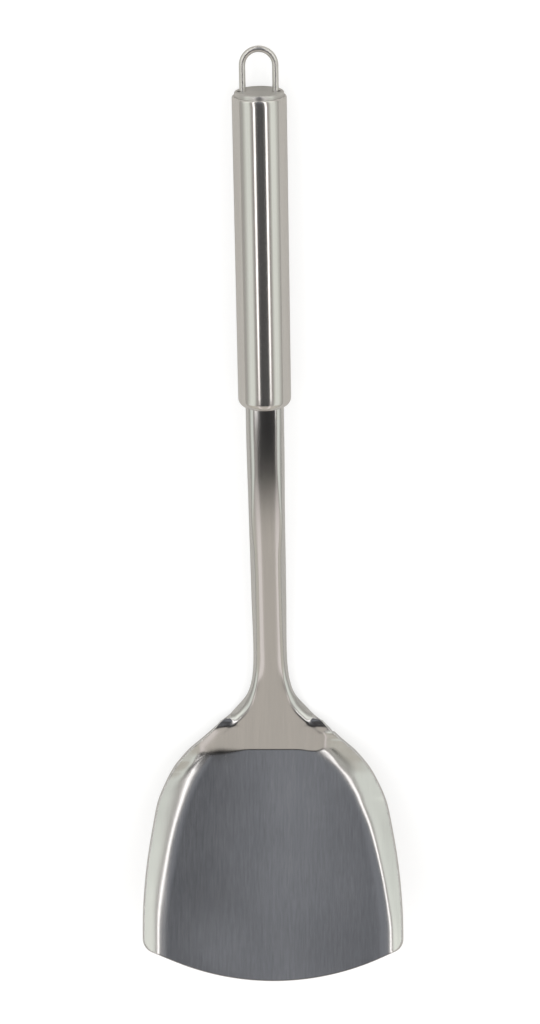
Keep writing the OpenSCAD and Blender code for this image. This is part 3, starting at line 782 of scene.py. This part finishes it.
# ---------------------------------------------------------------- floor and light
floor_mesh = bpy.data.meshes.new("floor")
floor_mesh.from_pydata([(-6, -6, 0), (6, -6, 0), (6, 6, 0), (-6, 6, 0)], [], [(0, 1, 2, 3)])
floor = bpy.data.objects.new("floor", floor_mesh)
floor.location = (0, 0, -0.0002)
scene.collection.objects.link(floor)
material = bpy.data.materials.new("pale_floor")
material.use_nodes = True
t = Tree(material.node_tree)
shader = t.node("ShaderNodeBsdfPrincipled")
path = t.node("ShaderNodeLightPath")
t.put(shader.inputs["Base Color"], t.colour(path.outputs["Is Glossy Ray"], (0.985, 0.99, 1.0, 1), (0.60, 0.585, 0.565, 1)))
shader.inputs["Roughness"].default_value = 0.9
shader.inputs["Specular IOR Level"].default_value = 0.1
glow = t.node("ShaderNodeEmission")
glow.inputs[0].default_value = (1, 1, 1, 1)
glow.inputs[1].default_value = 1.1
both = t.node("ShaderNodeMixShader")
t.put(both.inputs[0], t.mul(path.outputs["Is Camera Ray"], 0.62))
t.put(both.inputs[1], shader.outputs[0])
t.put(both.inputs[2], glow.outputs[0])
t.put(t.node("ShaderNodeOutputMaterial").inputs["Surface"], both.outputs[0])
floor_mesh.materials.append(material)

world = bpy.data.worlds.new("tent")
scene.world = world
world.use_nodes = True
t = Tree(world.node_tree)
split = t.node("ShaderNodeSeparateXYZ")
t.put(split.inputs[0], t.node("ShaderNodeTexCoord").outputs["Generated"])
vx, vy, vz = split.outputs
DEG = 180 / math.pi
tilt = t.mul(t.math("ARCSINE", vy), DEG)
# the tent sits a little to the right where it lights the tube
beside = t.mul(t.step(tilt, -22, -18), t.step(tilt, -11, -4, 1.0, 0.0))
wide = t.math("ABSOLUTE", t.math("SUBTRACT", t.mul(t.math("ARCTAN2", vx, vz), DEG), t.add(0.7, t.mul(beside, 4.0))))


def c4(colour):
    return (*colour, 1.0)


def blend(first, second, fac):
    """Both colours as triples or sockets; second where fac is 1."""
    first = c4(first) if isinstance(first, tuple) else first
    second = c4(second) if isinstance(second, tuple) else second
    return t.colour(fac, first, second)


# a tent of soft light over the blade and the tube: a darker gap overhead, a bright strip at each side of it, then broad diffusers;
# behind the handle a plain paler panel
up = t.step(tilt, -8, 8)
gap = blend((0.024, 0.024, 0.0245), (0.042, 0.040, 0.041), t.step(tilt, -20, -17))
gap = blend(blend(gap, (0.228, 0.237, 0.262), t.step(tilt, -12, 11)), (0.12, 0.122, 0.135), t.step(tilt, 22, 45))
gap = blend(gap, (0.34, 0.33, 0.32), t.mul(t.step(wide, 8, 20), t.step(tilt, -25, 5, 0.0, 0.8)))
near = blend((0.37, 0.345, 0.32), (0.49, 0.465, 0.44), up)
near = blend(near, blend((0.93, 0.955, 0.88), (1.17, 1.19, 1.09), up), t.step(wide, 34, 48))
near = blend(near, (0.46, 0.445, 0.41), t.step(wide, 60, 84))
near = blend(gap, near, t.step(wide, 19, 21))
strip = t.mul(t.step(wide, 20.1, 23.1), t.step(wide, 26.7, 29.7, 1.0, 0.0))
near = blend(near, (2.7, 2.6, 2.55), t.mul(strip, t.step(tilt, -19.8, -15.8)))
far = blend((0.615, 0.567, 0.507), (0.65, 0.615, 0.54), t.step(wide, 30, 40))
far = blend(far, (0.50, 0.49, 0.455), t.step(wide, 70, 88))
far = blend(far, (1.0, 0.915, 0.87), t.mul(t.step(wide, 18.3, 22.0), t.step(wide, 29.0, 34.0, 1.0, 0.0)))
shade = blend(far, near, t.step(tilt, -32.8, -24.6))
world_out = t.node("ShaderNodeOutputWorld")
seen = t.node("ShaderNodeBackground")
t.put(seen.inputs[0], (0.94, 0.94, 0.94, 1))
lit = t.node("ShaderNodeBackground")
t.put(lit.inputs[0], shade)
mix = t.node("ShaderNodeMixShader")
t.put(mix.inputs[0], t.node("ShaderNodeLightPath").outputs["Is Camera Ray"])
t.put(mix.inputs[1], lit.outputs[0])
t.put(mix.inputs[2], seen.outputs[0])
t.put(world_out.inputs["Surface"], mix.outputs[0])

fill_data = bpy.data.lights.new("overhead", "AREA")
fill_data.shape, fill_data.size, fill_data.energy = "DISK", 3.0, 30.0
fill = bpy.data.objects.new("overhead", fill_data)
fill.location = (0, 0, 2.4)
fill.visible_glossy = False
scene.collection.objects.link(fill)

# ---------------------------------------------------------------- camera
pitch, yaw, roll = math.radians(0.031), math.radians(-1.962), math.radians(0.237)
turn = (Matrix.Rotation(roll, 3, "Z") @ Matrix.Rotation(yaw, 3, "Y") @ Matrix.Rotation(pitch, 3, "X"))
eye = -(turn.transposed() @ Vector((0.86, -95.94, -1062.34)))
camera_data = bpy.data.cameras.new("camera")
camera_data.sensor_width, camera_data.lens = 36.0, 92.461
camera_data.clip_start, camera_data.clip_end = 0.01, 50.0
camera = bpy.data.objects.new("camera", camera_data)
scene.collection.objects.link(camera)
lie = Matrix(LIE.tolist())
place = (lie @ turn.transposed()).to_4x4()
place.translation = Vector(from_blade(np.array(eye)))
camera.matrix_world = place
scene.camera = camera

scene.view_settings.view_transform = "Standard"
scene.view_settings.look = "None"
scene.view_settings.exposure = 0.0
scene.view_settings.gamma = 1.0
